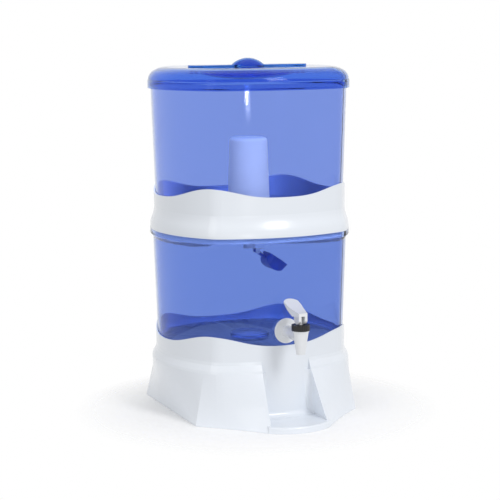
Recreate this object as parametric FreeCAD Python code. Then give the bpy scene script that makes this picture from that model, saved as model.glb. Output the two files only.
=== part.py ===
"""Gravity water filter with a tap: two clear tanks, a collar, a candle filter, a float valve and a stand.

Millimetres. The tanks stand on one vertical axis. The tap and the cup bay face -Y, +Z is up,
and the finished parts are set back so that the origin is under the middle of the whole outline.
"""
import FreeCAD, Part
import math
import os

V = FreeCAD.Vector
UP = V(0, 0, 1)
FRONT = V(0, -1, 0)

# Tank outline: four bowed sides joined by rounder corners
outline_half_width = 158.0
outline_half_depth = 152.8
outline_corner_radius = 44.5
outline_front_bow_radius = 249.6
outline_side_bow_radius = 193.1

# Shared fits
sliding_gap = 0.4
press_gap = 0.1
joint_gap = 0.05

# Stand
stand_wall = 3.0
stand_deck_z = 110.5
stand_deck_thickness = 3.5
stand_cup_inset = 6.9
stand_flare_top_z = 100.0
stand_shoulder_z = 82.0
stand_foot_side_inset = 19.5
stand_foot_front_inset = 41.8
stand_foot_back_inset = 29.8
stand_back_reach = 2.2
stand_back_corner_inset = 63.0
stand_ridge_before_corner = 3.18
nose_root_corner_inset = 80.0
nose_root_reach = 9.2
nose_half_width = 52.0
nose_side_reach = 45.2
nose_tip_reach = 64.2
nose_lip_height = 10.0
nose_edge_radius = 3.0
bay_half_width_top = 40.0
bay_shoulder_half_width = 44.0
bay_half_width_floor = 47.0
bay_top_z = 98.0
bay_corner_radius = 9.0

# Wave heights of the stand and the collar
stand_wave_height = 128.6
stand_wave_swing = 8.4
stand_wave_front_lift = 1.2
stand_wave_sharpness = 1.6
collar_wave_height = 356.3
collar_wave_swing = 7.8
collar_wave_front_lift = 4.5
collar_wave_sharpness = 1.7

# Tanks
tank_wall = 2.6
tank_floor = 3.2
tank_draft = 0.031
tank_corner_radius = 10.0
lower_tank_height = 182.7
lower_rim_inset = 4.1
lower_rim_height = 7.7
lower_rim_reach = 0.2
lower_rim_taper = 7.0
floor_boss_radius = 32.0
floor_boss_height = 5.0
upper_tank_height = 231.4
upper_rim_inset = 3.5
upper_rim_height = 8.0
upper_rim_width = 1.6

# Collar
collar_wall = 2.3
collar_ledge_thickness = 3.0
collar_ledge_inset = 26.0
collar_lip_depth = 8.0
collar_lip_width = 2.4
collar_waist_inset = 6.6
collar_waist_rise = 34.8
collar_skirt_rise = 3.8
collar_top_inset = 5.9

# Lid
lid_wall = 2.5
lid_skirt_reach = 1.0
lid_skirt_below_rim = 9.6
lid_skirt_above_rim = 3.4
lid_stop_width = 4.0
lid_stop_height = 2.9
lid_crown_rise = 20.0
lid_crown_run = 30.0
lid_bead_step = 0.8
well_half_length = 78.0
well_half_width = 44.0
well_depth = 17.0
handle_length = 202.0
handle_width = 40.0
handle_thickness = 3.0
handle_dome_radius = 26.0
handle_dome_height = 10.5
handle_peg_radius = 2.5
handle_peg_length = 6.0
handle_peg_margin = 9.0

# Candle filter
stem_radius = 6.0
stem_bore = 2.5
stem_length = 36.0
gasket_radius = 22.0
gasket_thickness = 2.0
candle_base_radius = 37.0
candle_base_height = 9.0
candle_base_rim = 2.0
candle_base_floor = 4.0
candle_foot_radius = 34.7
candle_top_radius = 30.5
candle_height = 132.0
candle_wall = 9.0
candle_edge_radius = 6.0
carbon_top_gap = 4.0
filter_washer_radius = 15.0
filter_washer_thickness = 2.0
wing_nut_radius = 10.0
wing_nut_height = 8.0
wing_span = 19.0
wing_thickness = 3.0
wing_rise = 6.0

# Float valve
valve_socket_radius = 9.5
valve_socket_depth = 12.0
valve_floor = 5.0
valve_arm_reach = 22.0
valve_arm_radius = 6.0
valve_channel_radius = 2.2
valve_nozzle_radius = 3.4
valve_nozzle_drop = 4.0
float_pin_x = 13.0
float_pin_radius = 1.25
float_pin_length = 15.0
float_ear_thickness = 2.2
float_ear_radius = 3.6
float_pin_drop = 11.1
float_hang_angle = 34.0
float_start = 17.0
float_length = 40.0
float_top = 8.0
float_depth = 20.0
float_width = 33.0
float_wall = 1.8
seal_pad_radius = 4.2
seal_pad_thickness = 2.2

# Tap
tap_height = 36.1
tap_boss_radius = 22.0
tap_boss_proud = 0.7
tap_boss_inner_depth = 0.8
tap_shank_radius = 8.0
tap_shank_bore = 4.5
tap_shank_length = 22.0
tap_flange_radius = 19.75
tap_flange_thickness = 3.0
tap_outer_washer_radius = 17.0
tap_inner_washer_radius = 14.0
tap_washer_thickness = 1.6
tap_nut_across = 27.0
tap_nut_thickness = 8.0
tap_reach = 51.3
tap_neck_radius = 9.5
tap_barrel_top_radius = 12.6
tap_spout_tip_radius = 6.75
tap_barrel_top_above = 10.0
tap_spout_drop = 27.1
tap_collar_radius = 10.6
tap_collar_height = 6.0
tap_chamber_radius = 8.6
tap_seat_below = 6.0
tap_spout_bore = 4.6
ring_radius = 14.0
ring_height = 9.0
ring_top_thickness = 2.4
ring_knurls = 24
ring_knurl_depth = 0.7
tap_stem_radius = 3.0
tap_stem_head_width = 5.0
seat_cup_radius = 7.4
seat_cup_height = 8.0
seat_cup_wall = 1.6
stem_shoulder_radius = 6.4
stem_shoulder_thickness = 1.6
spring_wire_radius = 0.45
spring_coil_radius = 5.2
spring_turns = 5
lever_pin_radius = 1.5
lever_pin_rise = 8.6
lever_hub_width = 14.0
lever_hub_depth = 19.0
lever_hub_rise = 10.0
lever_slot_gap = 0.5
lever_paddle_width = 24.0
lever_paddle_length = 46.0
lever_paddle_rise = 24.5
lever_paddle_back = 43.0
lever_paddle_thickness = 5.0
lever_paddle_scoop_radius = 34.0

# Sizes worked out from the outline
stand_foot_half_width = outline_half_width - stand_foot_side_inset
stand_foot_front = outline_half_depth - stand_foot_front_inset
stand_foot_back = outline_half_depth - stand_foot_back_inset
stand_back_flat = outline_half_depth + stand_back_reach
stand_back_half_width = outline_half_width - stand_back_corner_inset
nose_root_half_width = outline_half_width - nose_root_corner_inset
nose_root_front = outline_half_depth + nose_root_reach
nose_side_front = outline_half_depth + nose_side_reach
nose_reach = outline_half_depth + nose_tip_reach

# Heights worked out from the stack of parts
lower_rim_z = stand_deck_z + lower_tank_height
upper_floor_z = lower_rim_z + collar_ledge_thickness
upper_rim_z = upper_floor_z + upper_tank_height
lid_top_z = upper_rim_z + lid_skirt_above_rim + lid_crown_rise
tap_z = stand_deck_z + tap_height
set_back = (nose_reach - stand_back_flat) / 2.0


def bow_centres():
    """Centres of the front bow, the side bow and the corner arc in the first quarter."""
    front = V(0, outline_half_depth - outline_front_bow_radius, 0)
    side = V(outline_half_width - outline_side_bow_radius, 0, 0)
    to_front = outline_front_bow_radius - outline_corner_radius
    to_side = outline_side_bow_radius - outline_corner_radius
    between = side - front
    span = between.Length
    along = (to_front ** 2 - to_side ** 2 + span ** 2) / (2.0 * span)
    across = math.sqrt(to_front ** 2 - along ** 2)
    unit = between * (1.0 / span)
    corner = front + unit * along + V(unit.y, -unit.x, 0) * across
    return front, side, corner


def angle_from(centre, point):
    """Direction from one point to another, in degrees."""
    return math.degrees(math.atan2(point.y - centre.y, point.x - centre.x))


def outline_pieces():
    """The eight arcs of the outline as centre, radius, start angle and end angle, in order."""
    front, side, corner = bow_centres()
    low = angle_from(side, corner)
    high = angle_from(front, corner)
    quarter_turns = [
        (side, outline_side_bow_radius, -low, low),
        (corner, outline_corner_radius, low, high),
        (front, outline_front_bow_radius, high, 180.0 - high),
        (V(-corner.x, corner.y, 0), outline_corner_radius, 180.0 - high, 180.0 - low),
    ]
    pieces = list(quarter_turns)
    for centre, radius, start, end in quarter_turns:
        pieces.append((V(-centre.x, -centre.y, 0), radius, start + 180.0, end + 180.0))
    return pieces


def polar(centre, radius, angle, z):
    """Point at a radius and angle from a centre."""
    turn = math.radians(angle)
    return V(centre.x + radius * math.cos(turn), centre.y + radius * math.sin(turn), z)


def arc_edge(centre, radius, start, end, z):
    """Flat arc edge at one height."""
    middle = 0.5 * (start + end)
    points = [polar(centre, radius, angle, z) for angle in (start, middle, end)]
    return Part.Arc(*points).toShape()


def outline(z, grow):
    """Closed outline at a height, grown outward by an offset."""
    edges = [arc_edge(c, r + grow, a, b, z) for c, r, a, b in outline_pieces()]
    return Part.Wire(edges)


def prism(bottom_z, top_z, grow, top_grow=None):
    """Solid between two heights whose outline may taper."""
    last = grow if top_grow is None else top_grow
    return Part.makeLoft([outline(bottom_z, grow), outline(top_z, last)], True, True)


def profile_face(points, place):
    """Face from profile points, where a point with four numbers is an arc through its first pair."""
    edges = []
    last = points[-1][-2:]
    for point in points:
        goal = point[-2:]
        if len(point) == 4:
            edges.append(Part.Arc(place(*last), place(*point[:2]), place(*goal)).toShape())
        else:
            edges.append(Part.makeLine(place(*last), place(*goal)))
        last = goal
    return Part.Face(Part.Wire(edges))


def ring_from_profile(points):
    """Profile in offset and height carried round the whole outline."""
    solids = []
    for centre, radius, start, end in outline_pieces():
        face = profile_face(points, lambda grow, z: polar(centre, radius + grow, start, z))
        solids.append(face.revolve(centre, UP, end - start))
    return solids[0].multiFuse(solids[1:]).removeSplitter()


def tube(radius, bore, base, length, axis=UP):
    """Round tube, or a rod where the bore is nought."""
    body = Part.makeCylinder(radius, length, base, axis)
    if bore > 0:
        body = body.cut(Part.makeCylinder(bore, length + 2.0, base - axis, axis))
    return body


def one_solid(shape):
    """The single solid of a result."""
    clean = shape.removeSplitter()
    return clean.Solids[0] if len(clean.Solids) == 1 else clean


def wave_height(turn, level, swing, front_lift, sharpness):
    """Height of a wavy edge at a turn from the front, in radians."""
    lobes = -swing * math.cos(4 * turn) + sharpness * math.cos(8 * turn)
    return level + lobes + front_lift * math.cos(turn)


def above_wave(level, swing, front_lift, sharpness):
    """Solid that takes away everything above a wavy edge."""
    steps = 48
    loops = []
    for reach in (60.0, 172.0):
        points = []
        for step in range(steps):
            turn = 2.0 * math.pi * step / steps
            z = wave_height(turn, level, swing, front_lift, sharpness)
            points.append(V(reach * math.sin(turn), -reach * math.cos(turn), z))
        curve = Part.BSplineCurve()
        curve.interpolate(Points=points, PeriodicFlag=True)
        loops.append(curve.toShape())
    return Part.makeRuledSurface(loops[0], loops[1]).extrude(UP * 120.0)


def front_point(x, reach, z):
    """Point given by its reach toward the front."""
    return V(x, -reach, z)


def foot_points(inset):
    """Corners of the right half of the stand's foot, from the back to the nose."""
    half = stand_foot_half_width - inset
    return [
        V(stand_back_half_width - 0.35 * inset, stand_back_flat - inset, 0),
        V(half, stand_foot_back, 0),
        V(half, -stand_foot_front, 0),
        V(nose_root_half_width - 0.7 * inset, -(nose_root_front - 0.7 * inset), 0),
        V(nose_half_width - 0.9 * inset, -(nose_side_front - 0.5 * inset), 0),
    ]


def split_line(start, end):
    """Two edges along one straight stretch."""
    middle = (start + end) * 0.5
    return [Part.makeLine(start, middle), Part.makeLine(middle, end)]


def bent_edges(start, bend, end, stops):
    """Edges of one smooth curve that leaves and arrives along the lines through a bend."""
    curve = Part.BezierCurve()
    curve.setPoles([start, bend, end])
    return [curve.toShape(low, high) for low, high in zip(stops, stops[1:])]


def foot_wire(inset, z):
    """Edges round the foot, each matched to an edge of the split shoulder outline."""
    lift = V(0, 0, z)
    rear, side_back, side_front, root, nose = [point + lift for point in foot_points(inset)]
    others = [V(-p.x, p.y, p.z) for p in (rear, side_back, side_front, root, nose)]
    rear_left, back_left, front_left, root_left, nose_left = others
    tip = V(0, -(nose_reach - inset), z)
    edges = [Part.makeLine(side_front, side_back)]
    edges += split_line(side_back, rear)
    edges.append(Part.makeLine(rear, rear_left))
    edges += split_line(rear_left, back_left)
    edges.append(Part.makeLine(back_left, front_left))
    edges += bent_edges(front_left, root_left, nose_left, [0.0, 0.24, 0.36, 1.0])
    edges.append(Part.Arc(nose_left, tip, nose).toShape())
    edges += bent_edges(nose, root, side_front, [0.0, 0.64, 0.76, 1.0])
    return Part.Wire(edges)


def shoulder_wire(z, grow):
    """Outline cut at the ridges and beside the bay, each edge matched to one of the foot."""
    side, corner, back, other_corner, far_side, left_corner, front, right_corner = outline_pieces()
    ridge = side[3] - stand_ridge_before_corner
    half_turn = math.degrees(math.asin(bay_shoulder_half_width / (front[1] + grow)))
    edges = [arc_edge(side[0], side[1] + grow, -ridge, ridge, z)]
    edges.append(tail_edge(side, corner, ridge, grow, z))
    edges.append(second_half(corner, grow, z))
    edges.append(arc_edge(back[0], back[1] + grow, back[2], back[3], z))
    edges.append(first_half(other_corner, grow, z))
    edges.append(head_edge(other_corner, far_side, 180.0 - ridge, grow, z))
    edges.append(arc_edge(far_side[0], far_side[1] + grow, 180.0 - ridge, 180.0 + ridge, z))
    edges.append(tail_edge(far_side, left_corner, 180.0 + ridge, grow, z))
    edges.append(second_half(left_corner, grow, z))
    stops = [front[2], 270.0 - half_turn, 270.0 + half_turn, front[3]]
    for low, high in zip(stops, stops[1:]):
        edges.append(arc_edge(front[0], front[1] + grow, low, high, z))
    edges.append(first_half(right_corner, grow, z))
    edges.append(head_edge(right_corner, side, -ridge, grow, z))
    return Part.Wire(edges)


def tail_edge(bow, corner, ridge, grow, z):
    """Curve from the ridge over the end of a side bow to the middle of the corner."""
    start = polar(bow[0], bow[1] + grow, ridge, z)
    through = polar(bow[0], bow[1] + grow, bow[3], z)
    end = polar(corner[0], corner[1] + grow, 0.5 * (corner[2] + corner[3]), z)
    return Part.Arc(start, through, end).toShape()


def head_edge(corner, bow, ridge, grow, z):
    """Curve from the middle of the corner over the start of the next side bow to its ridge."""
    start = polar(corner[0], corner[1] + grow, 0.5 * (corner[2] + corner[3]), z)
    through = polar(corner[0], corner[1] + grow, corner[3], z)
    end = polar(bow[0], bow[1] + grow, ridge, z)
    return Part.Arc(start, through, end).toShape()


def second_half(corner, grow, z):
    """Second half of a corner arc."""
    middle = 0.5 * (corner[2] + corner[3])
    return arc_edge(corner[0], corner[1] + grow, middle, corner[3], z)


def first_half(corner, grow, z):
    """First half of a corner arc."""
    middle = 0.5 * (corner[2] + corner[3])
    return arc_edge(corner[0], corner[1] + grow, corner[2], middle, z)


def nose_lip():
    """Upright lip at the nose's tip with a rounded upper edge."""
    back = outline_half_depth
    half = nose_half_width
    edges = [
        Part.makeLine(front_point(-half, back, 0), front_point(half, back, 0)),
        Part.makeLine(front_point(half, back, 0), front_point(half, nose_side_front, 0)),
        Part.Arc(front_point(half, nose_side_front, 0), front_point(0, nose_reach, 0),
                 front_point(-half, nose_side_front, 0)).toShape(),
        Part.makeLine(front_point(-half, nose_side_front, 0), front_point(-half, back, 0)),
    ]
    lip = Part.Face(Part.Wire(edges)).extrude(UP * nose_lip_height)
    tip = [e for e in lip.Edges if e.BoundBox.ZMin > nose_lip_height - 0.1 and e.BoundBox.YMin < -nose_side_front - 1.0
           and e.BoundBox.YMax < -back - 1.0]
    return lip.makeFillet(nose_edge_radius, tip)


def bay_block(wall):
    """Space of the cup bay in front of the cup face, thickened by a wall where it is kept clear."""
    floor = nose_lip_height - wall
    low = bay_half_width_floor + wall
    top = bay_half_width_top + wall
    depth = 140.0
    reach = nose_reach + 40.0
    high = bay_top_z + 30.0
    run_out = top - (low - top) * (high - bay_top_z) / (bay_top_z - nose_lip_height)
    points = [(-low, floor), (low, floor), (run_out, high), (-run_out, high)]
    places = [front_point(x, reach, z) for x, z in points]
    face = Part.Face(Part.makePolygon(places + places[:1]))
    block = face.extrude(V(0, depth, 0))
    core = prism(floor - 10.0, high + 10.0, -stand_cup_inset - wall)
    bay = block.cut(core)
    return bay


def rounded_bay():
    """Cup bay with its inner corners filleted."""
    bay = bay_block(0.0)
    inner = [e for e in bay.Edges if runs_along_back(e)]
    return bay.makeFillet(bay_corner_radius, inner)


def runs_along_back(edge):
    """True for the edges where the bay's back meets its sides and floor."""
    box = edge.BoundBox
    return -box.YMin < outline_half_depth + 1.0 and box.ZMin < bay_top_z and box.DiagonalLength > 20.0


def stand_interior():
    """Hollow under the deck that keeps the walls of the shoulder, the nose and the bay."""
    top = stand_deck_z - stand_deck_thickness
    inner = -stand_cup_inset - stand_wall
    upper = prism(stand_shoulder_z - 1.0, top, inner)
    body = Part.makeLoft([foot_wire(stand_wall, -1.0), shoulder_wire(stand_shoulder_z, -stand_wall)], True, True)
    return body.fuse(upper).cut(bay_block(stand_wall))


def lower_tank_grow(z):
    """Outer offset of the lower tank's drafted wall."""
    return -lower_rim_inset - tank_draft * (lower_rim_z - z)


def upper_tank_grow(z):
    """Outer offset of the upper tank's drafted wall."""
    return -upper_rim_inset - tank_draft * (upper_rim_z - z)


def base_stand():
    """White stand: wavy cup for the lower tank, faceted skirt and a bay for the glass."""
    body = Part.makeLoft([foot_wire(0.0, 0.0), shoulder_wire(stand_shoulder_z, 0.0)], True, True)
    flare = Part.makeLoft([outline(stand_shoulder_z, 0.0),
                           outline(stand_shoulder_z + 4.0, -0.9),
                           outline(stand_flare_top_z - 5.0, -stand_cup_inset + 1.0),
                           outline(stand_flare_top_z, -stand_cup_inset)], True, True)
    top = stand_wave_height + 30.0
    cup = prism(stand_flare_top_z, top, -stand_cup_inset)
    bay = rounded_bay()
    shape = body.fuse(nose_lip()).cut(bay).multiFuse([flare.cut(bay_block(0.0)), cup])
    pocket = prism(stand_deck_z, top + 5.0, lower_tank_grow(stand_deck_z) + sliding_gap,
                   lower_tank_grow(top + 5.0) + sliding_gap)
    shape = shape.cut(pocket)
    shape = shape.cut(stand_interior())
    pad_room = Part.makeCylinder(tap_boss_radius + sliding_gap, tap_boss_proud + 8.0,
                                 front_point(0, tap_pad_face() + sliding_gap, tap_z), V(0, 1, 0))
    shape = shape.cut(pad_room)
    wave = above_wave(stand_wave_height, stand_wave_swing, stand_wave_front_lift, stand_wave_sharpness)
    return one_solid(shape.cut(wave))


def tank_shell(bottom, top, grow_at, rim_points):
    """Open tank: drafted wall with a rounded foot and a rim, closed by a floor."""
    foot = grow_at(bottom)
    radius = tank_corner_radius
    inner = radius - tank_wall
    slant = radius * (1.0 - math.sqrt(0.5))
    inner_slant = inner * (1.0 - math.sqrt(0.5))
    low = foot - tank_wall
    points = [
        (foot - radius, bottom),
        (foot - slant, bottom + slant, foot, bottom + radius),
    ]
    points += rim_points
    points += [
        (grow_at(top) - tank_wall, top),
        (low, bottom + tank_floor + inner),
        (low - inner_slant, bottom + tank_floor + inner_slant, low - inner, bottom + tank_floor),
    ]
    ring = ring_from_profile(points)
    floor = prism(bottom, bottom + tank_floor, foot - radius)
    return ring.fuse(floor)


def tap_pad_face():
    """Reach of the flat pad where the tap's washer seats."""
    return outline_half_depth + lower_tank_grow(tap_z) + tap_boss_proud


def tap_inner_face():
    """Reach of the flat inside the tank where the tap's inner washer seats."""
    return outline_half_depth + lower_tank_grow(tap_z) - tank_wall - tap_boss_inner_depth


def lower_tank():
    """Clear lower tank with its rim, the raised boss in its floor and the pad for the tap."""
    top = lower_rim_z
    rim_foot = top - lower_rim_height
    taper_z = rim_foot - lower_rim_taper
    rim = [
        (lower_tank_grow(taper_z), taper_z),
        (lower_rim_reach, rim_foot),
        (lower_rim_reach, top),
    ]
    shape = tank_shell(stand_deck_z, top, lower_tank_grow, rim)
    boss_top = stand_deck_z + tank_floor + floor_boss_height
    boss = Part.makeCylinder(floor_boss_radius, boss_top - stand_deck_z, V(0, 0, stand_deck_z))
    hollow = Part.makeCylinder(floor_boss_radius - tank_wall, floor_boss_height, V(0, 0, stand_deck_z))
    shape = shape.fuse(boss).cut(hollow)
    start = tap_inner_face()
    depth = tap_pad_face() - start
    pad = Part.makeCylinder(tap_boss_radius, depth, front_point(0, start, tap_z), FRONT)
    hole_radius = tap_shank_radius + sliding_gap
    hole = Part.makeCylinder(hole_radius, depth + 20.0, front_point(0, start - 10.0, tap_z), FRONT)
    return one_solid(shape.fuse(pad).cut(hole))


def upper_tank():
    """Clear upper tank with its rim and the hole for the filter's stem."""
    top = upper_rim_z
    rim_foot = top - upper_rim_height
    reach = -upper_rim_inset + upper_rim_width
    rim = [
        (upper_tank_grow(rim_foot), rim_foot),
        (reach, rim_foot + upper_rim_width),
        (reach, top),
    ]
    shape = tank_shell(upper_floor_z, top, upper_tank_grow, rim)
    hole = Part.makeCylinder(stem_radius + sliding_gap, 20.0, V(0, 0, upper_floor_z - 5.0))
    return one_solid(shape.cut(hole))


def collar_band():
    """White wavy collar that carries the upper tank and covers the joint between the tanks."""
    bottom = lower_rim_z
    ledge_top = bottom + collar_ledge_thickness
    skirt = bottom + collar_skirt_rise
    waist = bottom + collar_waist_rise
    top = collar_wave_height + 25.0
    lip_outer = -lower_rim_inset - tank_wall - 1.2
    lip_inner = lip_outer - collar_lip_width
    half = 0.5 * (skirt + waist)
    swell = 0.15 * collar_waist_inset
    points = [
        (-collar_ledge_inset, bottom),
        (lip_inner, bottom),
        (lip_inner, bottom - collar_lip_depth),
        (lip_outer, bottom - collar_lip_depth),
        (lip_outer, bottom),
        (0.0, bottom),
        (0.0, skirt),
        (-swell, 0.5 * (skirt + half), -0.5 * collar_waist_inset, half),
        (swell - collar_waist_inset, 0.5 * (half + waist), -collar_waist_inset, waist),
        (-collar_top_inset, top),
        (upper_tank_grow(top) + sliding_gap, top),
        (upper_tank_grow(waist) + sliding_gap, waist - 1.0),
        (-collar_wall - 0.4, skirt + 3.0),
        (-collar_wall - 0.4, ledge_top),
        (-collar_ledge_inset, ledge_top),
    ]
    shape = ring_from_profile(points)
    wave = above_wave(collar_wave_height, collar_wave_swing, collar_wave_front_lift, collar_wave_sharpness)
    return one_solid(shape.cut(wave))


def crown_point(angle, inset):
    """Point on the lid's rounded shoulder, from upright at nought to level at ninety degrees."""
    turn = math.radians(angle)
    run = lid_crown_run - lid_bead_step - inset
    rise = lid_crown_rise - inset
    start = lid_skirt_reach - lid_bead_step
    return (start - inset - run * (1.0 - math.cos(turn)), lid_top_z - lid_crown_rise + rise * math.sin(turn))


def well_bowl(extra):
    """Bowl of the finger well below the handle."""
    ball = Part.makeSphere(1.0)
    stretch = FreeCAD.Matrix()
    stretch.scale(well_half_length + extra, well_half_width + extra, well_depth + extra)
    bowl = ball.transformGeometry(stretch)
    bowl.translate(V(0, 0, lid_top_z))
    return bowl


def handle_peg_places():
    """Centres of the four pegs that hold the handle to the lid."""
    along = handle_length / 2.0 - handle_peg_margin
    across = handle_width / 2.0 - handle_peg_margin
    return [V(sx * along, sy * across, 0) for sx in (-1, 1) for sy in (-1, 1)]


def lid():
    """Clear lid: skirt over the tank's rim, stop rib, rounded crown and a finger well."""
    low = upper_rim_z - lid_skirt_below_rim
    bead = upper_rim_z + lid_skirt_above_rim
    inner_skirt = lid_skirt_reach - lid_wall
    stop = inner_skirt - lid_stop_width
    outer_mid = crown_point(25.0, 0.0) + crown_point(50.0, 0.0)
    outer_top = crown_point(70.0, 0.0) + crown_point(90.0, 0.0)
    inner_low = crown_point(0.0, lid_wall)
    inner_mid = crown_point(50.0, lid_wall)
    points = [
        (inner_skirt, low),
        (lid_skirt_reach, low),
        (lid_skirt_reach, bead - lid_bead_step),
        crown_point(0.0, 0.0),
        outer_mid,
        outer_top,
        crown_point(90.0, lid_wall),
        crown_point(70.0, lid_wall) + inner_mid,
        crown_point(25.0, lid_wall) + inner_low,
        (inner_low[0], upper_rim_z + lid_stop_height),
        (stop, upper_rim_z + lid_stop_height),
        (stop, upper_rim_z),
        (inner_skirt, upper_rim_z),
    ]
    ring = ring_from_profile(points)
    top = prism(lid_top_z - lid_wall, lid_top_z, crown_point(90.0, 0.0)[0])
    above = Part.makeBox(400.0, 400.0, 60.0, V(-200.0, -200.0, lid_top_z))
    shape = ring.fuse(top).fuse(well_bowl(lid_wall).cut(above)).cut(well_bowl(0.0))
    for place in handle_peg_places():
        hole = Part.makeCylinder(handle_peg_radius + press_gap, 20.0, place + UP * (lid_top_z - 10.0))
        shape = shape.cut(hole)
    return one_solid(shape)


def lid_handle():
    """Handle bar across the finger well, with a hollow dome in its middle and four pegs."""
    half = handle_length / 2.0 - handle_width / 2.0
    bar = Part.makeBox(2.0 * half, handle_width, handle_thickness, V(-half, -handle_width / 2.0, lid_top_z))
    ends = [Part.makeCylinder(handle_width / 2.0, handle_thickness, V(side * half, 0, lid_top_z)) for side in (-1, 1)]
    plate_top = lid_top_z + handle_thickness
    ball_radius = (handle_dome_radius ** 2 + handle_dome_height ** 2) / (2.0 * handle_dome_height)
    centre = V(0, 0, plate_top + handle_dome_height - ball_radius)
    keep = Part.makeBox(400.0, 400.0, 60.0, V(-200.0, -200.0, lid_top_z))
    dome = Part.makeSphere(ball_radius, centre).common(keep)
    inside = Part.makeSphere(ball_radius - lid_wall, centre)
    shape = bar.multiFuse(ends + [dome]).cut(inside)
    pegs = []
    for place in handle_peg_places():
        base = place + UP * (lid_top_z - handle_peg_length)
        pegs.append(Part.makeCylinder(handle_peg_radius, handle_peg_length + 1.0, base))
    return one_solid(shape.multiFuse(pegs))


def candle_seat_z():
    """Underside of the filter's base, on its gasket."""
    return upper_floor_z + tank_floor + gasket_thickness


def filter_base():
    """Plastic base of the candle: a shallow cup with the hollow stem below it."""
    seat = candle_seat_z()
    cup = Part.makeCylinder(candle_base_radius, candle_base_height, V(0, 0, seat))
    room = Part.makeCylinder(candle_base_radius - candle_base_rim, candle_base_height, V(0, 0, seat + candle_base_floor))
    stem = Part.makeCylinder(stem_radius, stem_length, V(0, 0, seat - stem_length))
    bore = Part.makeCylinder(stem_bore, stem_length + candle_base_floor + 2.0, V(0, 0, seat - stem_length - 1.0))
    return one_solid(cup.cut(room).fuse(stem).cut(bore))


def candle_body(shrink, bottom, height, edge):
    """Tapered round body with a rounded top edge."""
    foot = candle_foot_radius - shrink
    top = candle_top_radius - shrink
    body = Part.makeCone(foot, top, height, V(0, 0, bottom))
    edges = [e for e in body.Edges if e.BoundBox.ZMin > bottom + height - 0.1]
    return body.makeFillet(edge, edges)


def filter_candle():
    """Hollow ceramic candle."""
    bottom = candle_seat_z() + candle_base_floor
    outer = candle_body(0.0, bottom, candle_height, candle_edge_radius)
    height = candle_height - candle_wall
    inner = candle_body(candle_wall, bottom, height, candle_edge_radius / 2.0)
    return one_solid(outer.cut(inner))


def filter_carbon_core():
    """Block of carbon inside the candle."""
    bottom = candle_seat_z() + candle_base_floor
    height = candle_height - candle_wall - carbon_top_gap
    core = candle_body(candle_wall + sliding_gap, bottom, height, candle_edge_radius / 2.0)
    return one_solid(core)


def filter_gasket():
    """Rubber gasket under the filter's base."""
    return tube(gasket_radius, stem_radius + press_gap, V(0, 0, upper_floor_z + tank_floor), gasket_thickness)


def filter_washer():
    """Washer between the tank's floor and the wing nut."""
    base = V(0, 0, upper_floor_z - filter_washer_thickness)
    return tube(filter_washer_radius, stem_radius + press_gap, base, filter_washer_thickness)


def nut_bottom_z():
    """Underside of the wing nut's hub."""
    return upper_floor_z - filter_washer_thickness - wing_nut_height


def filter_wing_nut():
    """Wing nut that clamps the filter to the tank's floor."""
    low = nut_bottom_z()
    hub = Part.makeCylinder(wing_nut_radius, wing_nut_height, V(0, 0, low))
    wings = Part.makeBox(2.0 * wing_span, wing_thickness, wing_rise, V(-wing_span, -wing_thickness / 2.0, low))
    nut = hub.fuse(wings)
    return one_solid(nut.cut(Part.makeCylinder(stem_radius + press_gap, 40.0, V(0, 0, low - 10.0))))


def valve_top_z():
    """Top of the float valve's socket, just under the wing nut."""
    return nut_bottom_z() - 1.0


def valve_arm_z():
    """Height of the valve's sideways channel."""
    stem_end = candle_seat_z() - stem_length
    return stem_end - valve_floor + valve_channel_radius


def float_pin_point():
    """Axis point of the float's hinge."""
    return V(float_pin_x, 0, valve_arm_z() - float_pin_drop)


def float_valve_body():
    """Valve body on the end of the stem, with a side channel, a nozzle and two hinge ears."""
    stem_end = candle_seat_z() - stem_length
    low = stem_end - valve_floor
    socket = Part.makeCylinder(valve_socket_radius, valve_top_z() - low, V(0, 0, low))
    arm_z = valve_arm_z()
    arm = Part.makeCylinder(valve_arm_radius, valve_arm_reach, V(0, 0, arm_z), V(1, 0, 0))
    end = Part.makeSphere(valve_arm_radius, V(valve_arm_reach, 0, arm_z))
    nozzle_base = arm_z - valve_arm_radius - valve_nozzle_drop + 2.0
    nozzle = Part.makeCylinder(valve_nozzle_radius, arm_z - nozzle_base, V(valve_arm_reach, 0, nozzle_base))
    ears = float_ears()
    shape = socket.multiFuse([arm, end, nozzle] + ears)
    bore = Part.makeCylinder(stem_radius + press_gap, 40.0, V(0, 0, stem_end))
    channel = Part.makeCylinder(valve_channel_radius, valve_arm_reach, V(0, 0, arm_z), V(1, 0, 0))
    drop = Part.makeCylinder(valve_channel_radius, 20.0, V(valve_arm_reach, 0, arm_z - 20.0))
    feed = Part.makeCylinder(valve_channel_radius, stem_end - arm_z + 1.0, V(0, 0, arm_z))
    shape = shape.cut(bore).cut(channel).cut(drop).cut(feed)
    pin = float_pin_point()
    hole = Part.makeCylinder(float_pin_radius + joint_gap, 60.0, pin - V(0, 30.0, 0), V(0, 1, 0))
    return one_solid(shape.cut(hole))


def float_ears():
    """Two ears that hang from the valve's arm and hold the hinge pin."""
    pin = float_pin_point()
    ears = []
    inner = float_pin_length / 2.0 - float_ear_thickness
    for side in (-1, 1):
        start = inner if side > 0 else -inner - float_ear_thickness
        plate = Part.makeBox(2.0 * float_ear_radius, float_ear_thickness, float_pin_drop,
                             V(pin.x - float_ear_radius, start, pin.z))
        round_end = Part.makeCylinder(float_ear_radius, float_ear_thickness, V(pin.x, start, pin.z), V(0, 1, 0))
        ears += [plate, round_end]
    return ears


def float_place(along, across, y=0.0):
    """Point of the hanging float, measured along and across its arm from the hinge."""
    turn = math.radians(float_hang_angle)
    pin = float_pin_point()
    x = pin.x + along * math.cos(turn) + across * math.sin(turn)
    z = pin.z - along * math.sin(turn) + across * math.cos(turn)
    return V(x, y, z)


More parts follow.
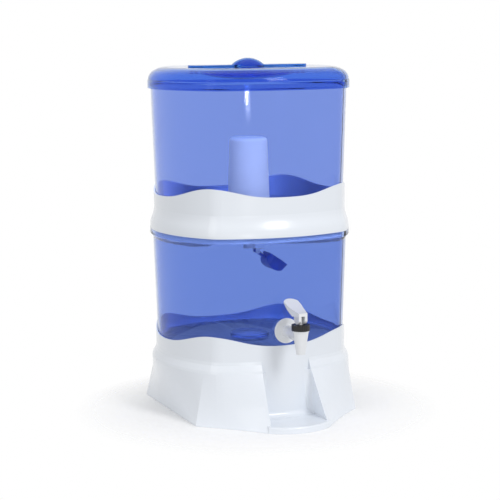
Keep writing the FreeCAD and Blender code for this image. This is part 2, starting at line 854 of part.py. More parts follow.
def float_blank(shrink, top):
    """Boat shaped body of the float: a side outline cut to a rounded plan."""
    start = float_start + shrink
    end = float_start + float_length - shrink
    keel = float_top - float_depth + shrink
    half = float_width / 2.0 - shrink
    side = [
        (start, top),
        (start + 0.04 * float_length, float_top - 0.6 * float_depth, start + 0.3 * float_length, keel + 1.0),
        (start + 0.6 * float_length, keel + 1.0, end - 5.0, keel + 7.0),
        (end, top),
    ]
    face = profile_face(side, lambda along, across: float_place(along, across, -half))
    body = face.extrude(V(0, 2.0 * half, 0))
    turn = math.radians(float_hang_angle)
    rise = V(math.sin(turn), 0, math.cos(turn))
    low = keel - 5.0
    belly = start + 0.6 * float_length
    corners = [float_place(start, low, -0.8 * half), float_place(belly, low, -half),
               float_place(end, low, -0.45 * half), float_place(end, low, 0.45 * half),
               float_place(belly, low, half), float_place(start, low, 0.8 * half)]
    edges = [
        Part.Arc(corners[0], corners[1], corners[2]).toShape(),
        Part.makeLine(corners[2], corners[3]),
        Part.Arc(corners[3], corners[4], corners[5]).toShape(),
        Part.makeLine(corners[5], corners[0]),
    ]
    plan = Part.Face(Part.Wire(edges)).extrude(rise * (float_depth + 20.0))
    return body.common(plan)


def float_bowl():
    """Hollow float with the arm that turns on the hinge pin and holds the seal pad."""
    outer = float_blank(0.0, float_top).cut(float_slab())
    inner = float_blank(float_wall, float_top - float_wall + 0.5)
    bowl = outer.cut(inner)
    width = float_pin_length - 2.0 * float_ear_thickness - 1.0
    half = width / 2.0
    pin = float_pin_point()
    eye = Part.makeCylinder(3.2, width, V(pin.x, -half, pin.z), V(0, 1, 0))
    strip = [(0.0, -3.0), (float_start + 1.2, -3.0), (float_start + 1.2, 0.6), (0.0, 0.6)]
    face = profile_face(strip, lambda along, across: float_place(along, across, -half))
    arm = face.extrude(V(0, width, 0))
    shape = bowl.multiFuse([eye, arm]).cut(inner)
    hole = Part.makeCylinder(float_pin_radius + joint_gap, 60.0, pin - V(0, 30.0, 0), V(0, 1, 0))
    return one_solid(shape.cut(hole))


def float_slab():
    """Tilted slab that holds the thickness of the float's cap."""
    half = float_width
    low = float_top - float_wall
    far = float_start + 2.0 * float_length
    strip = [(-10.0, low), (far, low), (far, float_top + 5.0), (-10.0, float_top + 5.0)]
    face = profile_face(strip, lambda along, across: float_place(along, across, -half))
    return face.extrude(V(0, 2.0 * half, 0))


def float_cap():
    """Flat cap that closes the float."""
    return one_solid(float_blank(0.0, float_top).common(float_slab()))


def float_hinge_pin():
    """Steel pin of the float's hinge."""
    pin = float_pin_point()
    half = float_pin_length / 2.0
    return Part.makeCylinder(float_pin_radius, float_pin_length, V(pin.x, -half, pin.z), V(0, 1, 0))


def float_seal_pad():
    """Rubber pad on the float's arm that closes the nozzle when the float lifts."""
    along = (valve_arm_reach - float_pin_x)
    turn = math.radians(float_hang_angle)
    normal = V(math.sin(turn), 0, math.cos(turn))
    base = float_place(along, 0.6)
    return Part.makeCylinder(seal_pad_radius, seal_pad_thickness, base, normal)


def flange_face():
    """Reach of the outer face of the tap's flange."""
    return tap_pad_face() + tap_washer_thickness + tap_flange_thickness


def spout_reach():
    """Reach of the tap's upright axis."""
    return flange_face() + tap_reach


def tap_point(z):
    """Point on the tap's upright axis."""
    return front_point(0, spout_reach(), z)


def barrel_top_z():
    """Top shoulder of the barrel, where the bonnet ring seats."""
    return tap_z + tap_barrel_top_above


def seat_z():
    """Height of the valve seat inside the tap."""
    return tap_z - tap_seat_below


def tap_body():
    """White tap body: shank, flange, neck, barrel and tapered spout in one piece."""
    back = tap_pad_face() + tap_washer_thickness
    shank = Part.makeCylinder(tap_shank_radius, tap_shank_length, front_point(0, back, tap_z), V(0, 1, 0))
    flange = Part.makeCylinder(tap_flange_radius, tap_flange_thickness, front_point(0, back, tap_z), FRONT)
    rim = [e for e in flange.Edges if abs(e.BoundBox.YMax + flange_face()) < 0.01 and e.BoundBox.ZLength > 10.0]
    flange = flange.makeFillet(0.4 * tap_flange_thickness, rim)
    neck_length = spout_reach() - flange_face() + 1.0
    neck = Part.makeCylinder(tap_neck_radius, neck_length, front_point(0, flange_face() - 1.0, tap_z), FRONT)
    top = barrel_top_z()
    tip = tap_z - tap_spout_drop
    lip = Part.makeCylinder(tap_barrel_top_radius + 0.5, 2.0, tap_point(top - 2.0))
    spout = Part.makeCone(tap_spout_tip_radius, tap_barrel_top_radius, top - tip, tap_point(tip))
    collar = Part.makeCylinder(tap_collar_radius, tap_collar_height + 1.0, tap_point(top - 1.0))
    shape = shank.multiFuse([flange, neck, lip, spout, collar])
    seat = seat_z()
    chamber = Part.makeCylinder(tap_chamber_radius, top + tap_collar_height - seat + 1.0, tap_point(seat))
    outlet = Part.makeCylinder(tap_spout_bore, seat - tip + 2.0, tap_point(tip - 1.0))
    inlet_start = back - tap_shank_length - 1.0
    inlet = Part.makeCylinder(tap_shank_bore, spout_reach() - inlet_start, front_point(0, inlet_start, tap_z), FRONT)
    return one_solid(shape.cut(chamber).cut(outlet).cut(inlet))


def tap_outer_washer():
    """Rubber washer between the flange and the tank."""
    base = front_point(0, tap_pad_face(), tap_z)
    return tube(tap_outer_washer_radius, tap_shank_radius + press_gap, base, tap_washer_thickness, FRONT)


def tap_inner_washer():
    """Rubber washer between the tank and the lock nut."""
    base = front_point(0, tap_inner_face() - tap_washer_thickness, tap_z)
    return tube(tap_inner_washer_radius, tap_shank_radius + press_gap, base, tap_washer_thickness, FRONT)


def tap_lock_nut():
    """Hexagonal nut that pulls the tap against the tank."""
    face_reach = tap_inner_face() - tap_washer_thickness
    radius = tap_nut_across / math.sqrt(3.0)
    corners = []
    for step in range(7):
        turn = math.radians(60.0 * step)
        corners.append(front_point(radius * math.cos(turn), face_reach, tap_z + radius * math.sin(turn)))
    nut = Part.Face(Part.makePolygon(corners)).extrude(V(0, tap_nut_thickness, 0))
    base = front_point(0, face_reach + 5.0, tap_z)
    return one_solid(nut.cut(Part.makeCylinder(tap_shank_radius + press_gap, 40.0, base, V(0, 1, 0))))


def ring_bottom_z():
    """Underside of the bonnet ring."""
    return barrel_top_z()


def tap_bonnet_ring():
    """Black knurled ring that closes the barrel and guides the stem."""
    low = ring_bottom_z()
    ring = Part.makeCylinder(ring_radius, ring_height, tap_point(low))
    room = Part.makeCylinder(tap_collar_radius + press_gap, ring_height - ring_top_thickness, tap_point(low))
    guide = Part.makeCylinder(tap_stem_radius + joint_gap, ring_height + 2.0, tap_point(low - 1.0))
    shape = ring.cut(room).cut(guide)
    grooves = []
    for step in range(ring_knurls):
        turn = 2.0 * math.pi * step / ring_knurls
        centre = tap_point(low - 1.0) + V(ring_radius * math.cos(turn), ring_radius * math.sin(turn), 0)
        grooves.append(Part.makeCylinder(ring_knurl_depth, ring_height + 2.0, centre))
    return one_solid(shape.cut(Part.makeCompound(grooves)))


def lever_pin_z():
    """Height of the lever's pin."""
    return ring_bottom_z() + ring_height + lever_pin_rise


def seat_cup_top_z():
    """Top of the silicone seat cup."""
    return seat_z() + seat_cup_height


def tap_stem():
    """Stem that lifts the seat cup: rod, shoulder for the spring and a flat head for the pin."""
    top = lever_pin_z() + tap_stem_head_width / 2.0
    foot = seat_z() + seat_cup_wall
    flats_z = ring_bottom_z() + ring_height + 0.2
    rod = Part.makeCylinder(tap_stem_radius, top - foot, tap_point(foot))
    shoulder = Part.makeCylinder(stem_shoulder_radius, stem_shoulder_thickness, tap_point(seat_cup_top_z()))
    half = tap_stem_head_width / 2.0
    trim = Part.makeBox(20.0, 20.0, 30.0, tap_point(flats_z) + V(half, -10.0, 0))
    other = Part.makeBox(20.0, 20.0, 30.0, tap_point(flats_z) + V(-half - 20.0, -10.0, 0))
    shape = rod.fuse(shoulder).cut(trim).cut(other)
    hole = Part.makeCylinder(lever_pin_radius + joint_gap, 40.0, tap_point(lever_pin_z()) - V(20.0, 0, 0), V(1, 0, 0))
    return one_solid(shape.cut(hole))


def tap_seat_cup():
    """Silicone cup on the stem's end that closes the seat."""
    low = seat_z()
    cup = Part.makeCylinder(seat_cup_radius, seat_cup_height, tap_point(low))
    cup = cup.makeFillet(1.2, [e for e in cup.Edges if e.BoundBox.ZMax < low + 0.1])
    bore = Part.makeCylinder(tap_stem_radius, seat_cup_height, tap_point(low + seat_cup_wall))
    return one_solid(cup.cut(bore))


def spring_room():
    """Bottom and top heights of the spring."""
    low = seat_cup_top_z() + stem_shoulder_thickness
    high = ring_bottom_z() + ring_height - ring_top_thickness
    return low, high


def tap_spring():
    """Coil spring that presses the stem down onto the seat."""
    low, high = spring_room()
    start = low + spring_wire_radius
    rise = high - low - 2.0 * spring_wire_radius
    path = Part.makeHelix(rise / spring_turns, rise, spring_coil_radius)
    path.translate(tap_point(start))
    section = Part.Wire([Part.makeCircle(spring_wire_radius, tap_point(start) + V(spring_coil_radius, 0, 0),
                                         V(0, 1, 0))])
    return Part.Wire(path.Edges).makePipeShell([section], True, True)


def lever_place(back, z):
    """Point of the lever in its middle plane, measured back from the tap's axis."""
    return front_point(0, spout_reach() - back, z)


def tap_lever():
    """Forked lever: a rounded hub on the pin and a scooped paddle that leans back over the neck."""
    pin_z = lever_pin_z()
    bottom = pin_z - lever_pin_rise + 0.6
    half = lever_hub_depth / 2.0
    top = pin_z + lever_hub_rise
    tip_back = lever_paddle_back
    tip_z = pin_z + lever_paddle_rise
    hub = [
        (-half, pin_z - 2.0),
        (0.0, bottom, half, pin_z - 2.0),
        (half, top - 3.0),
        (-half, top),
    ]
    face = profile_face(hub, lever_place)
    face.translate(V(-lever_hub_width / 2.0, 0, 0))
    body = face.extrude(V(lever_hub_width, 0, 0))
    paddle = [
        (-half, top - 5.0),
        (half, top - 7.0),
        (0.75 * tip_back, tip_z - 8.0, tip_back, tip_z),
        (0.45 * tip_back, 0.5 * (tip_z + top) - 1.0, -half, top),
    ]
    blade = profile_face(paddle, lever_place)
    blade.translate(V(-lever_paddle_width / 2.0, 0, 0))
    blade = blade.extrude(V(lever_paddle_width, 0, 0))
    oval = paddle_outline(pin_z)
    shape = body.fuse(blade.common(oval))
    gap = tap_stem_head_width / 2.0 + lever_slot_gap
    slot_top = pin_z + tap_stem_head_width
    slot = Part.makeBox(2.0 * gap, lever_hub_depth + 10.0, slot_top - bottom + 10.0,
                        lever_place(half + 5.0, bottom - 10.0) - V(gap, lever_hub_depth + 10.0, 0))
    keep_back = Part.makeBox(2.0 * gap, 4.0, 40.0, lever_place(half, bottom - 10.0) - V(gap, 4.0, 0))
    shape = shape.cut(slot.cut(keep_back))
    hole = Part.makeCylinder(lever_pin_radius + press_gap, 40.0, lever_place(0.0, pin_z) - V(20.0, 0, 0), V(1, 0, 0))
    return one_solid(shape.cut(hole))


def paddle_outline(pin_z):
    """Upright prism whose plan rounds the paddle's tip and widens it from the hub."""
    half = lever_paddle_width / 2.0
    root = lever_hub_width / 2.0
    front = -lever_hub_depth / 2.0
    back = lever_paddle_back
    belly = 0.55 * back
    outline_points = [
        ((-root, front), (root, front)),
        ((root, front), (half, belly)),
    ]
    def place(x, along):
        return lever_place(along, pin_z - 30.0) + V(x, 0, 0)
    edges = [Part.makeLine(place(*a), place(*b)) for a, b in outline_points]
    edges.append(Part.Arc(place(half, belly), place(0, back), place(-half, belly)).toShape())
    edges.append(Part.makeLine(place(-half, belly), place(-root, front)))
    return Part.Face(Part.Wire(edges)).extrude(UP * 80.0)


def tap_lever_pin():
    """Steel pin through the lever and the stem's head."""
    length = lever_hub_width - 1.0
    return Part.makeCylinder(lever_pin_radius, length, lever_place(0.0, lever_pin_z()) - V(length / 2.0, 0, 0),
                             V(1, 0, 0))


PARTS = {
    "base_stand": base_stand,
    "lower_tank": lower_tank,
    "tap_body": tap_body,
    "tap_outer_washer": tap_outer_washer,
    "tap_inner_washer": tap_inner_washer,
    "tap_lock_nut": tap_lock_nut,
    "tap_bonnet_ring": tap_bonnet_ring,
    "tap_stem": tap_stem,
    "tap_seat_cup": tap_seat_cup,
    "tap_spring": tap_spring,
    "tap_lever": tap_lever,
    "tap_lever_pin": tap_lever_pin,
    "collar_band": collar_band,
    "upper_tank": upper_tank,
    "filter_candle": filter_candle,
    "filter_carbon_core": filter_carbon_core,
    "filter_base": filter_base,
    "filter_gasket": filter_gasket,
    "filter_washer": filter_washer,
    "filter_wing_nut": filter_wing_nut,
    "float_valve_body": float_valve_body,
    "float_bowl": float_bowl,
    "float_cap": float_cap,
    "float_hinge_pin": float_hinge_pin,
    "float_seal_pad": float_seal_pad,
    "lid": lid,
    "lid_handle": lid_handle,
}

os.makedirs("parts", exist_ok=True)
for name, make in PARTS.items():
    shape = make()
    shape.translate(V(0, set_back, 0))
    print(name, "solids", len(shape.Solids), "valid", shape.isValid(), "volume", round(shape.Volume, 1))
    shape.exportStep("parts/" + name + ".step")
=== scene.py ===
import bpy
import math
from mathutils import Matrix, Vector


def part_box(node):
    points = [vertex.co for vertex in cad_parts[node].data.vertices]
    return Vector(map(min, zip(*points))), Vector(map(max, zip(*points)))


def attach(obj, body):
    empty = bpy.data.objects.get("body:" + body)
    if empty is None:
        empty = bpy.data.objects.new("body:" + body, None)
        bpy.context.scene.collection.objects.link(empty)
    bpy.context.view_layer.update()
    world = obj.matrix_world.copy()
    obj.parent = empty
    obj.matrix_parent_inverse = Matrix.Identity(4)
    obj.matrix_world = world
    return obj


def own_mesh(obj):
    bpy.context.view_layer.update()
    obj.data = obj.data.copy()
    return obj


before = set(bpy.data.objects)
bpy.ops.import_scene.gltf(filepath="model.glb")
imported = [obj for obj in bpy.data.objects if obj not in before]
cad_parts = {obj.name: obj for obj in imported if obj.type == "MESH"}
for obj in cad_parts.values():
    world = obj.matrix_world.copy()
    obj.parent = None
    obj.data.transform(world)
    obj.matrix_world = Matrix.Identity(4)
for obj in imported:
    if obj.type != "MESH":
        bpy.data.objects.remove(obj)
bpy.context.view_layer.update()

# Where the photograph was taken from, in metres and degrees
eye = Vector((-0.9606, -2.2681, 0.6176))
heading, pitch, roll = 22.709, 8.313, -0.423
lens_mm = 111.3
sensor_mm = 36.0
tank_axis_y = 0.031


class Wire:
    """One shader value, so that shader maths reads as plain sums."""

    def __init__(self, net, socket):
        self.net = net
        self.socket = socket

    def maths(self, operation, *values):
        return self.net.make("ShaderNodeMath", {"operation": operation}, *values)

    def __add__(self, other):
        return self.maths("ADD", self, other)

    def __radd__(self, other):
        return self.maths("ADD", other, self)

    def __sub__(self, other):
        return self.maths("SUBTRACT", self, other)

    def __rsub__(self, other):
        return self.maths("SUBTRACT", other, self)

    def __mul__(self, other):
        return self.maths("MULTIPLY", self, other)

    def __rmul__(self, other):
        return self.maths("MULTIPLY", other, self)

    def __truediv__(self, other):
        return self.maths("DIVIDE", self, other)

    def clamp(self):
        return self.net.make("ShaderNodeClamp", {}, self)


class Net:
    """A node material built step by step."""

    def __init__(self, name):
        self.material = bpy.data.materials.new(name)
        self.material.use_nodes = True
        self.tree = self.material.node_tree
        self.tree.nodes.clear()
        self.output = self.tree.nodes.new("ShaderNodeOutputMaterial")

    def make(self, kind, settings, *values, out=0, **named):
        """Add a node: settings first, then its sockets in order or by name; one output comes back."""
        node = self.tree.nodes.new(kind)
        for key, value in settings.items():
            setattr(node, key, value)
        pairs = list(enumerate(values)) + [(k.replace("_", " "), v) for k, v in named.items()]
        for key, value in pairs:
            self.feed(node.inputs[key], value)
        return Wire(self, node.outputs[out])

    def feed(self, socket, value):
        """Link a wire to a socket or set its plain value."""
        if isinstance(value, Wire):
            self.tree.links.new(value.socket, socket)
        elif isinstance(value, (tuple, list)) and len(value) == 3 and socket.type == "RGBA":
            socket.default_value = (*value, 1.0)
        else:
            socket.default_value = value

    def place(self):
        """Position on the piece, in metres."""
        return self.make("ShaderNodeTexCoord", {}, out="Object")

    def noise(self, scale, detail=3.0, roughness=0.5):
        """Cloudy value between nought and one."""
        return self.make("ShaderNodeTexNoise", {}, Vector=self.place(), Scale=scale, Detail=detail,
                         Roughness=roughness, out=0)

    def blend(self, factor, first, second):
        """Colour between two colours."""
        node = self.tree.nodes.new("ShaderNodeMix")
        node.data_type = "RGBA"
        self.feed(node.inputs["Factor"], factor)
        self.feed(node.inputs["A"], first)
        self.feed(node.inputs["B"], second)
        return Wire(self, node.outputs["Result"])

    def bump(self, height, strength, distance):
        """Small relief from a height."""
        return self.make("ShaderNodeBump", {}, Strength=strength, Distance=distance, Height=height)

    def show(self, shader):
        """Use a shader for the surface."""
        self.tree.links.new(shader.socket, self.output.inputs["Surface"])
        return self.material


def shade(colour, share):
    """Colour scaled by a share."""
    return tuple(c * share for c in colour)


def moulded_plastic(name, colour, rough, speck=0.0, orange_peel=0.05, coat=0.0, grain=260.0):
    """Opaque moulded plastic: faint flow clouds, uneven gloss and a fine skin."""
    net = Net(name)
    cloud_scale, scuff_scale = 9.0, 38.0
    darker_share = 0.965 - speck
    scuff_swing = 0.10
    skin_depth = 0.0004
    clouds = net.noise(cloud_scale, 4.0)
    skin = net.noise(grain, 3.0, 0.6)
    tone = net.blend(clouds, shade(colour, darker_share), shade(colour, 1.0))
    scuffs = net.noise(scuff_scale, 5.0, 0.65)
    gloss = rough + scuff_swing * (scuffs - 0.5)
    relief = net.bump(skin, orange_peel, skin_depth)
    shader = net.make("ShaderNodeBsdfPrincipled", {}, Base_Color=tone, Roughness=gloss, Normal=relief,
                      Coat_Weight=coat, Coat_Roughness=0.08, IOR=1.49)
    return net.show(shader)


def clear_plastic(name, tint, shadow_tint, rough=0.03):
    """Clear tinted plastic that also lets the lamps through to what stands behind it."""
    net = Net(name)
    cloud_scale, wipe_scale, ripple_scale = 6.0, 22.0, 7.0
    darker_share = 0.97
    wipe_swing = 0.02
    ripple_strength, ripple_depth = 0.10, 0.0012
    thin_wall_ior = 1.2
    clouds = net.noise(cloud_scale, 3.0)
    tone = net.blend(clouds, shade(tint, darker_share), tint)
    wipes = net.noise(wipe_scale, 4.0)
    gloss = rough + wipe_swing * wipes
    ripples = net.bump(net.noise(ripple_scale, 2.0), ripple_strength, ripple_depth)
    body = net.make("ShaderNodeBsdfPrincipled", {}, Base_Color=tone, Roughness=gloss, Normal=ripples,
                    Transmission_Weight=1.0, IOR=thin_wall_ior)
    film = net.make("ShaderNodeBsdfTransparent", {}, Color=shadow_tint)
    rays = net.make("ShaderNodeLightPath", {}, out="Is Shadow Ray")
    return net.show(net.make("ShaderNodeMixShader", {}, rays, body, film))


def fired_ceramic():
    """Matte warm white ceramic with fine pores and faint clouds."""
    net = Net("fired ceramic")
    pore_scale, cloud_scale = 900.0, 30.0
    darker, lighter = (0.94, 0.87, 0.77), (0.98, 0.91, 0.81)
    pore_strength, pore_depth = 0.25, 0.0003
    pores = net.noise(pore_scale, 2.0, 0.7)
    clouds = net.noise(cloud_scale, 4.0)
    tone = net.blend(clouds, darker, lighter)
    relief = net.bump(pores, pore_strength, pore_depth)
    gloss = 0.85 - 0.1 * pores
    return net.show(net.make("ShaderNodeBsdfPrincipled", {}, Base_Color=tone, Roughness=gloss,
                             Normal=relief))


def pressed_carbon():
    """Black block of pressed carbon grains."""
    net = Net("pressed carbon")
    grain_scale = 900.0
    darker, lighter = (0.012, 0.012, 0.012), (0.05, 0.05, 0.052)
    grain_strength, grain_depth = 0.5, 0.0004
    grains = net.make("ShaderNodeTexVoronoi", {}, Vector=net.place(), Scale=grain_scale, out="Distance")
    tone = net.blend(grains.clamp(), darker, lighter)
    gloss = 0.7 + 0.2 * grains.clamp()
    return net.show(net.make("ShaderNodeBsdfPrincipled", {}, Base_Color=tone, Roughness=gloss,
                             Normal=net.bump(grains, grain_strength, grain_depth)))


def drawn_steel():
    """Bright steel wire and pins with fine uneven gloss."""
    net = Net("drawn steel")
    mark_scale = 700.0
    darker, lighter = (0.52, 0.52, 0.54), (0.66, 0.66, 0.68)
    marks = net.noise(mark_scale, 2.0)
    tone = net.blend(marks, darker, lighter)
    gloss = 0.22 + 0.15 * marks
    return net.show(net.make("ShaderNodeBsdfPrincipled", {}, Base_Color=tone, Metallic=1.0,
                             Roughness=gloss))


# Finishes, each with its colour and its usual roughness
white = moulded_plastic("white moulded plastic", (0.80, 0.84, 0.90), 0.24, coat=0.25, orange_peel=0.08)
tap_white = moulded_plastic("white tap plastic", (0.82, 0.84, 0.87), 0.20, coat=0.3, grain=500.0)
tank_blue = clear_plastic("clear blue tank plastic", (0.44, 0.54, 0.87), (0.94, 0.96, 1.0))
low_blue = clear_plastic("clear blue lower tank plastic", (0.38, 0.49, 0.83), (0.94, 0.96, 1.0))
lid_blue = clear_plastic("clear blue lid plastic", (0.24, 0.40, 0.86), (0.88, 0.92, 0.99), 0.05)
handle_blue = clear_plastic("blue handle plastic", (0.05, 0.20, 0.70), (0.7, 0.8, 0.95), 0.08)
float_blue = moulded_plastic("blue float plastic", (0.03, 0.09, 0.46), 0.3)
black = moulded_plastic("black ring plastic", (0.010, 0.010, 0.011), 0.46, orange_peel=0.12, grain=700.0)
inner_white = moulded_plastic("white fitting plastic", (0.74, 0.75, 0.78), 0.38)
rubber = moulded_plastic("pale seal rubber", (0.55, 0.56, 0.58), 0.7, speck=0.04, orange_peel=0.15,
                         grain=800.0)
silicone = moulded_plastic("milky silicone", (0.66, 0.66, 0.66), 0.5, speck=0.02)
ceramic = fired_ceramic()
carbon = pressed_carbon()
steel = drawn_steel()

finishes = {
    "base_stand": white, "collar_band": white,
    "tap_body": tap_white, "tap_lever": tap_white,
    "upper_tank": tank_blue, "lower_tank": low_blue,
    "lid": lid_blue, "lid_handle": handle_blue,
    "float_bowl": float_blue, "float_cap": float_blue,
    "tap_bonnet_ring": black, "tap_lock_nut": inner_white,
    "filter_base": inner_white, "filter_wing_nut": inner_white,
    "float_valve_body": inner_white, "tap_stem": inner_white,
    "filter_candle": ceramic, "filter_carbon_core": carbon,
    "tap_outer_washer": rubber, "tap_inner_washer": rubber, "filter_gasket": rubber,
    "filter_washer": rubber, "float_seal_pad": rubber, "tap_seat_cup": silicone,
    "tap_spring": steel, "tap_lever_pin": steel, "float_hinge_pin": steel,
}
for node, finish in finishes.items():
    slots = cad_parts[node].data.materials
    slots.clear()
    slots.append(finish)


def group_input(tree, name, kind, value):
    """Add a named input with its usual value."""
    socket = tree.interface.new_socket(name=name, in_out="INPUT", socket_type=kind)
    socket.default_value = value


def thread_tree(finish):
    """Geometry tree for a screw thread: small ridge rings repeated along Z."""
    tree = bpy.data.node_groups.new("thread ridges", "GeometryNodeTree")
    usual_sizes = [("Radius", 0.006), ("Pitch", 0.0015), ("Ridge", 0.0004)]
    ring_sides, ridge_sides = 40, 6
    for name, value in usual_sizes:
        group_input(tree, name, "NodeSocketFloat", value)
    group_input(tree, "Turns", "NodeSocketInt", 10)
    tree.interface.new_socket(name="Geometry", in_out="OUTPUT", socket_type="NodeSocketGeometry")
    add = tree.nodes.new
    link = tree.links.new
    given = add("NodeGroupInput")
    circle = add("GeometryNodeCurvePrimitiveCircle")
    circle.inputs["Resolution"].default_value = ring_sides
    link(given.outputs["Radius"], circle.inputs["Radius"])
    ridge = add("GeometryNodeCurvePrimitiveCircle")
    ridge.inputs["Resolution"].default_value = ridge_sides
    link(given.outputs["Ridge"], ridge.inputs["Radius"])
    torus = add("GeometryNodeCurveToMesh")
    link(circle.outputs["Curve"], torus.inputs["Curve"])
    link(ridge.outputs["Curve"], torus.inputs["Profile Curve"])
    step = add("ShaderNodeCombineXYZ")
    link(given.outputs["Pitch"], step.inputs["Z"])
    line = add("GeometryNodeMeshLine")
    link(given.outputs["Turns"], line.inputs["Count"])
    link(step.outputs["Vector"], line.inputs["Offset"])
    copies = add("GeometryNodeInstanceOnPoints")
    link(line.outputs["Mesh"], copies.inputs["Points"])
    link(torus.outputs["Mesh"], copies.inputs["Instance"])
    solid = add("GeometryNodeRealizeInstances")
    link(copies.outputs["Instances"], solid.inputs["Geometry"])
    paint = add("GeometryNodeSetMaterial")
    paint.inputs["Material"].default_value = finish
    link(solid.outputs["Geometry"], paint.inputs["Geometry"])
    done = add("NodeGroupOutput")
    link(paint.outputs["Geometry"], done.inputs["Geometry"])
    return tree


def thread(name, body, base, along, radius, length, pitch, finish):
    """Thread of ridge rings on a rod, from its base along an axis."""
    ridge_share = 0.3
    mesh = bpy.data.meshes.new(name + "_seed")
    maker = bpy.data.objects.new(name + "_seed", mesh)
    bpy.context.scene.collection.objects.link(maker)
    modifier = maker.modifiers.new("ridges", "NODES")
    modifier.node_group = thread_tree(finish)
    wanted = {"Radius": radius, "Pitch": pitch, "Ridge": pitch * ridge_share, "Turns": int(length / pitch)}
    for item in modifier.node_group.interface.items_tree:
        if item.item_type == "SOCKET" and item.in_out == "INPUT":
            modifier[item.identifier] = wanted[item.name]
    ready = maker.evaluated_get(bpy.context.evaluated_depsgraph_get())
    result = bpy.data.meshes.new_from_object(ready)
    result.name = name
    turn = Vector((0, 0, 1)).rotation_difference(Vector(along)).to_matrix().to_4x4()
    result.transform(Matrix.Translation(base) @ turn)
    bpy.data.objects.remove(maker)
    piece = bpy.data.objects.new(name, result)
    bpy.context.scene.collection.objects.link(piece)
    for face in result.polygons:
        face.use_smooth = True
    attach(piece, body)


# Thread on the tap's shank, inside the tank
shank_radius = 0.008
thread_pitch = 0.0016
gap_after_nut = 0.0008
plain_end = 0.001
lock_low, lock_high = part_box("tap_lock_nut")
tap_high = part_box("tap_body")[1]
tap_z = 0.5 * (lock_low.z + lock_high.z)
shank_free = tap_high.y - lock_high.y
thread("tap_shank_thread", "lower", base=Vector((0, lock_high.y + gap_after_nut, tap_z)), along=(0, 1, 0),
       radius=shank_radius, length=shank_free - plain_end, pitch=thread_pitch, finish=tap_white)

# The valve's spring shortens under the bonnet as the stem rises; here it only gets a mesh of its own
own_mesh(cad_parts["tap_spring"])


# Floor that fades into the white background
floor_radius = 0.6
floor_sides = 96
floor_z = -0.0002
paper_reach = 0.17
fade_width = 0.13


def floor_mesh():
    """Disc a little wider than the stand's shadow."""
    mesh = bpy.data.meshes.new("floor")
    turns = [math.tau * k / floor_sides for k in range(floor_sides)]
    rim = [(floor_radius * math.cos(turn), floor_radius * math.sin(turn), floor_z) for turn in turns]
    mesh.from_pydata(rim, [], [list(range(floor_sides))])
    return mesh


def floor_paper():
    """Pale paper that fades into the white background away from the filter."""
    net = Net("pale floor")
    fibre_scale = 160.0
    darker, lighter = (0.955, 0.955, 0.96), (0.97, 0.97, 0.97)
    spot = net.place()
    fibres = net.noise(fibre_scale, 3.0)
    tone = net.blend(fibres, darker, lighter)
    paper = net.make("ShaderNodeBsdfPrincipled", {}, Base_Color=tone, Roughness=0.9)
    nothing = net.make("ShaderNodeBsdfTransparent", {}, Color=(1.0, 1.0, 1.0))
    reach = net.make("ShaderNodeVectorMath", {"operation": "LENGTH"}, spot, out="Value")
    far = ((reach - paper_reach) / fade_width).clamp()
    return net.show(net.make("ShaderNodeMixShader", {}, far, paper, nothing))


floor = bpy.data.objects.new("floor", floor_mesh())
bpy.context.scene.collection.objects.link(floor)
floor.data.materials.append(floor_paper())


# Soft studio light: lamps with their places and sizes in metres and their power in watts
def lamp(name, place, target, size, power):
    """Soft oblong lamp that faces a point."""
    data = bpy.data.lights.new(name, "AREA")
    data.shape = "RECTANGLE"
    data.size, data.size_y = size
    data.energy = power
    thing = bpy.data.objects.new(name, data)
    thing.location = place
    thing.rotation_euler = (Vector(target) - Vector(place)).to_track_quat("-Z", "Y").to_euler()
    bpy.context.scene.collection.objects.link(thing)


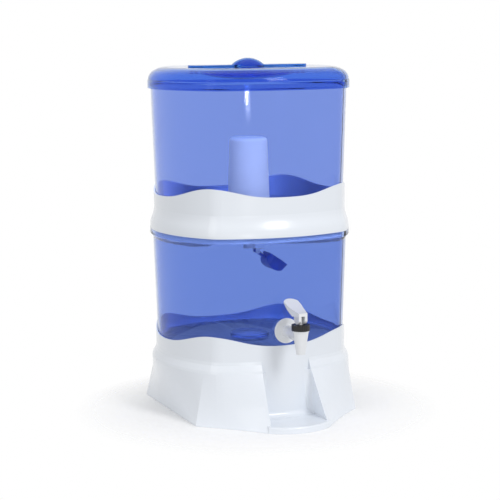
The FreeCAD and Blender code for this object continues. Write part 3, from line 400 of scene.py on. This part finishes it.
middle = (0.0, tank_axis_y, 0.28)
upper_tank_front = (-0.06, -0.12, 0.48)
lamp("key window", place=(0.65, -2.1, 1.7), target=middle, size=(0.7, 1.1), power=26.0)
lamp("left fill", place=(-2.1, -0.9, 1.1), target=middle, size=(1.4, 1.6), power=9.0)
lamp("small window", place=(-0.28, -2.1, 0.30), target=upper_tank_front, size=(0.1, 0.08), power=2.0)
lamp("top soft light", place=(0.1, 0.2, 2.3), target=middle, size=(1.8, 1.8), power=9.0)


def white_world():
    """Soft even light that the camera, gloss and clear pieces see as white."""
    light_on_object = 0.56
    light_seen = 1.0
    world = bpy.data.worlds.new("studio")
    bpy.context.scene.world = world
    world.use_nodes = True
    tree = world.node_tree
    tree.nodes.clear()
    add = tree.nodes.new
    paths = add("ShaderNodeLightPath")
    straight = add("ShaderNodeMath")
    straight.operation = "MAXIMUM"
    seen = add("ShaderNodeMath")
    seen.operation = "MAXIMUM"
    tree.links.new(paths.outputs["Is Camera Ray"], straight.inputs[0])
    tree.links.new(paths.outputs["Is Transmission Ray"], straight.inputs[1])
    tree.links.new(straight.outputs[0], seen.inputs[0])
    tree.links.new(paths.outputs["Is Glossy Ray"], seen.inputs[1])
    strength = add("ShaderNodeMapRange")
    strength.inputs["To Min"].default_value = light_on_object
    strength.inputs["To Max"].default_value = light_seen
    tree.links.new(seen.outputs[0], strength.inputs["Value"])
    light = add("ShaderNodeBackground")
    light.inputs["Color"].default_value = (1, 1, 1, 1)
    tree.links.new(strength.outputs["Result"], light.inputs["Strength"])
    tree.links.new(light.outputs[0], add("ShaderNodeOutputWorld").inputs["Surface"])


white_world()


def photo_camera():
    """Camera at the photograph's place, with its heading, pitch and slight roll."""
    h, p, r = (math.radians(v) for v in (heading, pitch, roll))
    ahead = Vector((math.cos(p) * math.sin(h), math.cos(p) * math.cos(h), -math.sin(p)))
    right = Vector((math.cos(h), -math.sin(h), 0.0))
    up = right.cross(ahead)
    side = right * math.cos(r) + up * math.sin(r)
    top = up * math.cos(r) - right * math.sin(r)
    data = bpy.data.cameras.new("camera")
    data.lens = lens_mm
    data.sensor_width = sensor_mm
    camera = bpy.data.objects.new("camera", data)
    turn = Matrix((side, top, -ahead)).transposed().to_4x4()
    camera.matrix_world = Matrix.Translation(eye) @ turn
    bpy.context.scene.collection.objects.link(camera)
    bpy.context.scene.camera = camera


photo_camera()
bpy.context.scene.view_settings.view_transform = "Standard"
